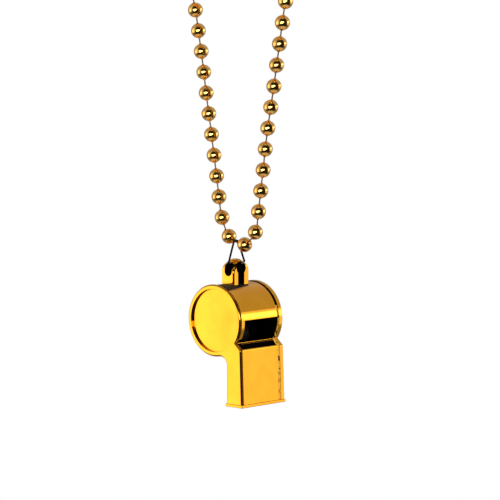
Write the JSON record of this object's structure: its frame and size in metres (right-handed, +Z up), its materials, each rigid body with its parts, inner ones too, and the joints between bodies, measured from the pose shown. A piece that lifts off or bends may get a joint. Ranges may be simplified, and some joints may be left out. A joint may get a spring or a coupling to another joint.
{
  "type": "pea whistle on a bead necklace",
  "caption": "Moulded pea whistle with a round recessed side, lug and wire ring, hanging on a bead necklace whose spare length is coiled.",
  "frame": {"origin": "inside top of the stored necklace coil, where a peg or hook holds it", "axes": "+Z up, along the hanging whistle; the window and mouthpiece face -Y; the barrel's axis lies along X"},
  "size_m": [0.0222, 0.0716, 0.212],
  "materials": {
    "gold_plastic": "vacuum-metallised gold, mirror gloss",
    "bead_gold": "vacuum-metallised antique gold, mirror gloss",
    "pea": "dark moulded plastic, matte",
    "wire": "drawn wire, darkened",
    "thread": "thin plated thread between moulded beads",
    "tie": "paper and plastic twist tie"
  },
  "bodies": {
    "necklace": {"necklace_coil": "bead_gold", "thread": "thread", "twist_tie": "tie", "bead_bottom": "bead_gold", "bead_left_1": "bead_gold", "bead_left_2": "bead_gold", "bead_left_3": "bead_gold", "bead_left_4": "bead_gold", "bead_left_5": "bead_gold", "bead_left_6": "bead_gold", "bead_left_7": "bead_gold", "bead_left_8": "bead_gold", "bead_left_9": "bead_gold", "bead_left_10": "bead_gold", "bead_left_11": "bead_gold", "bead_left_12": "bead_gold", "bead_left_13": "bead_gold", "bead_right_1": "bead_gold", "bead_right_2": "bead_gold", "bead_right_3": "bead_gold", "bead_right_4": "bead_gold", "bead_right_5": "bead_gold", "bead_right_6": "bead_gold", "bead_right_7": "bead_gold", "bead_right_8": "bead_gold", "bead_right_9": "bead_gold", "bead_right_10": "bead_gold", "bead_right_11": "bead_gold", "bead_right_12": "bead_gold", "bead_right_13": "bead_gold"},
    "ring": {"link_ring": "wire"},
    "whistle": {"body_shell": "gold_plastic", "side_cover": "gold_plastic"},
    "pea": {"pea": "pea"}
  },
  "joints": [
    {"name": "ring_swing", "type": "hinge", "parent": "necklace", "child": "ring", "pos_m": [0, -0.0006, -0.14475], "axis": [0, 1, 0], "range_deg": [-80, 80]},
    {"name": "whistle_swing", "type": "hinge", "parent": "ring", "child": "whistle", "pos_m": [0, -0.0006, -0.1519], "axis": [1, 0, 0], "range_deg": [-45, 45]},
    {"name": "pea_roll", "type": "hinge", "parent": "whistle", "child": "pea", "pos_m": [0, 0, -0.1712], "axis": [1, 0, 0], "continuous": true}
  ]
}
